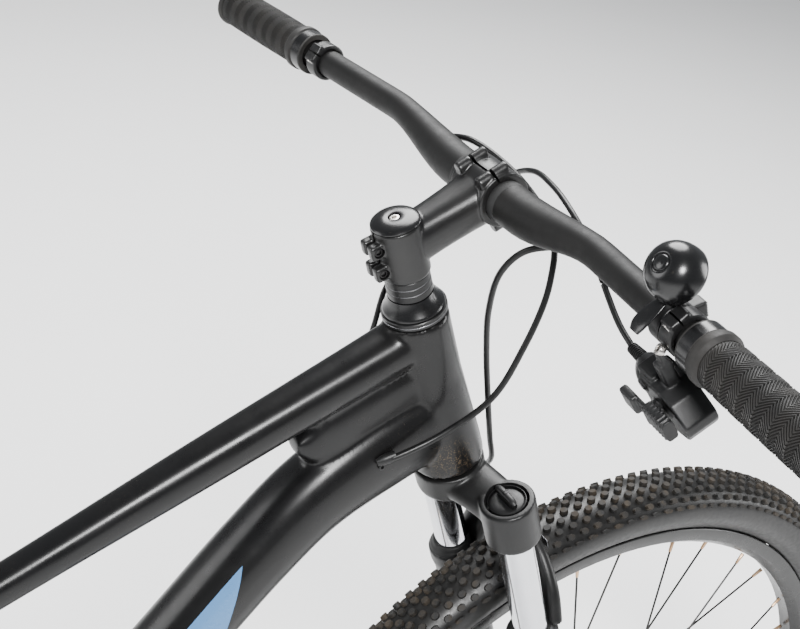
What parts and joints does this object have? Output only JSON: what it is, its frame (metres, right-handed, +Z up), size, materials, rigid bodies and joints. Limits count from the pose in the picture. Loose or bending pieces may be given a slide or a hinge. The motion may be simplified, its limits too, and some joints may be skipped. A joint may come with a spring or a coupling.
{
  "type": "mountain bike",
  "caption": "Hardtail mountain bike with suspension fork, disc brakes, flat handlebar with lever brakes, trigger shifter and bell, single-ring chain drive and platform pedals.",
  "frame": {"origin": "on the ground midway between the two wheel axles, in the bicycle's middle plane", "axes": "+X forward, +Y to the rider's left, +Z up"},
  "size_m": [1.9286, 0.7658, 1.1172],
  "materials": {
    "frame_paint": "satin black",
    "fork_paint": "satin black",
    "anodised_black": "satin black anodised",
    "matte_bar": "matte black",
    "gloss_cap": "gloss black",
    "chrome_tube": "polished",
    "tyre_rubber": "matte, dusty",
    "black_rim": "satin black",
    "hub_black": "satin black, thin dark spokes",
    "rotor_steel": "ground steel",
    "chain_steel": "oiled steel",
    "axle_black": "black anodised",
    "caliper_black": "satin black",
    "gear_plastic": "satin black",
    "grip_rubber": "matte, ribbed",
    "saddle_cover": "matte black synthetic leather",
    "pedal_plastic": "matte black",
    "bell_gloss": "gloss black lacquer",
    "cable_black": "semi-gloss black",
    "knob_black": "black anodised"
  },
  "bodies": {
    "frame": {"head_tube": "frame_paint", "top_tube": "frame_paint", "down_tube": "frame_paint", "seat_tube": "frame_paint", "bottom_bracket_shell": "frame_paint", "seat_clamp": "anodised_black", "chainstay_left": "frame_paint", "chainstay_right": "frame_paint", "seatstay_left": "frame_paint", "seatstay_right": "frame_paint", "headset_upper_cup": "anodised_black", "rear_axle": "axle_black", "rear_brake_caliper": "caliper_black", "rear_derailleur": "gear_plastic", "chain": "chain_steel"},
    "seatpost": {"seatpost": "anodised_black", "saddle": "saddle_cover"},
    "steerer": {"fork_crown": "fork_paint", "stanchion_left": "chrome_tube", "stanchion_right": "chrome_tube", "headset_cover": "gloss_cap", "stem_spacers": "anodised_black", "stem": "anodised_black", "stem_faceplate": "anodised_black", "top_cap": "gloss_cap", "handlebar": "matte_bar", "grip_left": "grip_rubber", "grip_right": "grip_rubber", "brake_mount_left": "caliper_black", "brake_mount_right": "caliper_black", "shifter_body": "gear_plastic", "bell_base": "gloss_cap", "bell_dome": "bell_gloss", "rear_brake_hose": "cable_black", "front_brake_hose": "cable_black", "shift_cable": "cable_black"},
    "fork_lowers": {"fork_lowers": "fork_paint", "front_axle": "axle_black", "front_brake_caliper": "caliper_black"},
    "front_wheel": {"front_tyre": "tyre_rubber", "front_rim": "black_rim", "front_hub_and_spokes": "hub_black", "front_brake_rotor": "rotor_steel"},
    "rear_wheel": {"rear_tyre": "tyre_rubber", "rear_rim": "black_rim", "rear_hub_and_spokes": "hub_black", "rear_brake_rotor": "rotor_steel"},
    "cassette": {"cassette": "chain_steel"},
    "crank": {"crank_right": "anodised_black", "crank_left": "anodised_black"},
    "guide_pulley": {"guide_pulley": "gear_plastic"},
    "tension_pulley": {"tension_pulley": "gear_plastic"},
    "pedal_left": {"pedal_left": "pedal_plastic"},
    "pedal_right": {"pedal_right": "pedal_plastic"},
    "brake_lever_left": {"brake_lever_left": "anodised_black"},
    "brake_lever_right": {"brake_lever_right": "anodised_black"},
    "shifter_thumb_paddle": {"shifter_thumb_paddle": "gear_plastic"},
    "shifter_release_paddle": {"shifter_release_paddle": "gear_plastic"},
    "bell_striker": {"bell_striker": "gear_plastic"},
    "lockout_knob": {"lockout_knob": "knob_black"}
  },
  "joints": [
    {"name": "steering", "type": "hinge", "parent": "frame", "child": "steerer", "pos_m": [0.3119, 0, 0.956], "axis": [-0.3665, 0, 0.9304], "range_deg": [-65, 65], "deforming": ["rear_brake_hose", "shift_cable"]},
    {"name": "fork_travel", "type": "slide", "parent": "steerer", "child": "fork_lowers", "axis": [-0.3665, 0, 0.9304], "range_m": [0, 0.08], "stiffness_N_per_m": 6000, "deforming": ["front_brake_hose"]},
    {"name": "front_wheel_spin", "type": "hinge", "parent": "fork_lowers", "child": "front_wheel", "pos_m": [0.59525, 0, 0.369], "axis": [0, 1, 0], "continuous": true},
    {"name": "rear_wheel_spin", "type": "hinge", "parent": "frame", "child": "rear_wheel", "pos_m": [-0.59525, 0, 0.369], "axis": [0, 1, 0], "continuous": true},
    {"name": "crank_spin", "type": "hinge", "parent": "frame", "child": "crank", "pos_m": [-0.15965, 0, 0.307], "axis": [0, 1, 0], "continuous": true},
    {"name": "cassette_spin", "type": "hinge", "parent": "frame", "child": "cassette", "pos_m": [-0.59525, 0, 0.369], "axis": [0, 1, 0], "continuous": true},
    {"name": "guide_pulley_spin", "type": "hinge", "parent": "frame", "child": "guide_pulley", "pos_m": [-0.588, -0.05, 0.257], "axis": [0, 1, 0], "continuous": true},
    {"name": "tension_pulley_spin", "type": "hinge", "parent": "frame", "child": "tension_pulley", "pos_m": [-0.556, -0.05, 0.178], "axis": [0, 1, 0], "continuous": true},
    {"name": "pedal_left_spin", "type": "hinge", "parent": "crank", "child": "pedal_left", "pos_m": [-0.32965, 0.127, 0.307], "axis": [0, 1, 0], "continuous": true},
    {"name": "pedal_right_spin", "type": "hinge", "parent": "crank", "child": "pedal_right", "pos_m": [0.01035, -0.127, 0.307], "axis": [0, 1, 0], "continuous": true},
    {"name": "brake_lever_left_pull", "type": "hinge", "parent": "steerer", "child": "brake_lever_left", "pos_m": [0.374, 0.2488, 1.04277], "axis": [0.5317, 0.0603, 0.8448], "range_deg": [0, 20], "stiffness_Nm_per_rad": 1.5, "springref_deg": -11.46},
    {"name": "brake_lever_right_pull", "type": "hinge", "parent": "steerer", "child": "brake_lever_right", "pos_m": [0.36817, -0.24813, 1.03561], "axis": [-0.7189, 0.0825, -0.6902], "range_deg": [0, 20], "stiffness_Nm_per_rad": 1.5, "springref_deg": -11.46},
    {"name": "shifter_thumb_push", "type": "hinge", "parent": "steerer", "child": "shifter_thumb_paddle", "pos_m": [0.33925, -0.22972, 1.00229], "axis": [-0.7971, 0.0919, -0.5969], "range_deg": [0, 25], "stiffness_Nm_per_rad": 0.5, "springref_deg": -11.46},
    {"name": "shifter_release_pull", "type": "hinge", "parent": "steerer", "child": "shifter_release_paddle", "pos_m": [0.33925, -0.22972, 1.00229], "axis": [0.7971, -0.0919, 0.5969], "range_deg": [0, 15], "stiffness_Nm_per_rad": 0.5, "springref_deg": -11.46},
    {"name": "bell_striker_flick", "type": "hinge", "parent": "steerer", "child": "bell_striker", "pos_m": [0.33417, -0.21888, 1.07839], "axis": [0.1162, 0.9932, -0.0023], "range_deg": [0, 10], "stiffness_Nm_per_rad": 0.1, "springref_deg": -5.73},
    {"name": "lockout_turn", "type": "hinge", "parent": "steerer", "child": "lockout_knob", "pos_m": [0.3854, -0.064, 0.80761], "axis": [-0.3665, 0, 0.9304], "range_deg": [0, 90]},
    {"name": "seatpost_slide", "type": "slide", "parent": "frame", "child": "seatpost", "axis": [-0.284, 0, 0.9588], "range_m": [-0.1, 0.05]}
  ],
  "couplings": [
    {"joint": "cassette_spin", "follows": "crank_spin", "ratio": 2},
    {"joint": "guide_pulley_spin", "follows": "crank_spin", "ratio": -2.6667},
    {"joint": "tension_pulley_spin", "follows": "crank_spin", "ratio": 2.6667}
  ]
}
